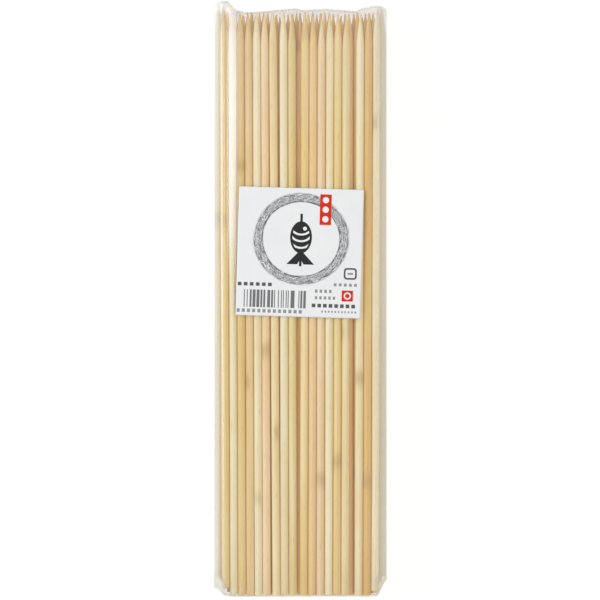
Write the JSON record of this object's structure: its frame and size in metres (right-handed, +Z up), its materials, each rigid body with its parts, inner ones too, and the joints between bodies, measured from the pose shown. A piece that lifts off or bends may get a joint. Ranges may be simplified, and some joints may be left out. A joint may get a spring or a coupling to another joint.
{
  "type": "pack of fish skewers",
  "caption": "Sealed clear film bag holding a close bundle of round, pointed bamboo fish skewers, with a square paper label on its front.",
  "frame": {"origin": "middle of the underside, on the surface that the pack lies on", "axes": "+Z up through the labelled front, +Y along the skewers towards their points, +X to the right as seen from the front"},
  "size_m": [0.0896, 0.3072, 0.0388],
  "materials": {
    "bamboo": "smooth pale bamboo with fine lengthwise fibres",
    "clear_film": "clear glossy polyethylene film",
    "label_paper": "white coated paper, printed"
  },
  "bodies": {
    "root": {"film_bag": "clear_film", "label": "label_paper", "skewer_front_1": "bamboo", "skewer_front_2": "bamboo", "skewer_front_3": "bamboo", "skewer_front_4": "bamboo", "skewer_front_5": "bamboo", "skewer_front_6": "bamboo", "skewer_front_7": "bamboo", "skewer_front_8": "bamboo", "skewer_front_9": "bamboo", "skewer_front_10": "bamboo", "skewer_front_11": "bamboo", "skewer_front_12": "bamboo", "skewer_front_13": "bamboo", "skewer_front_14": "bamboo", "skewer_front_15": "bamboo", "skewer_front_16": "bamboo", "skewer_front_17": "bamboo", "skewer_front_18": "bamboo", "skewers_row_1": "bamboo", "skewers_row_2": "bamboo", "skewers_row_3": "bamboo", "skewers_row_4": "bamboo", "skewers_row_5": "bamboo", "skewers_row_6": "bamboo", "skewers_row_7": "bamboo", "skewers_row_8": "bamboo", "skewers_row_9": "bamboo"}
  },
  "joints": []
}
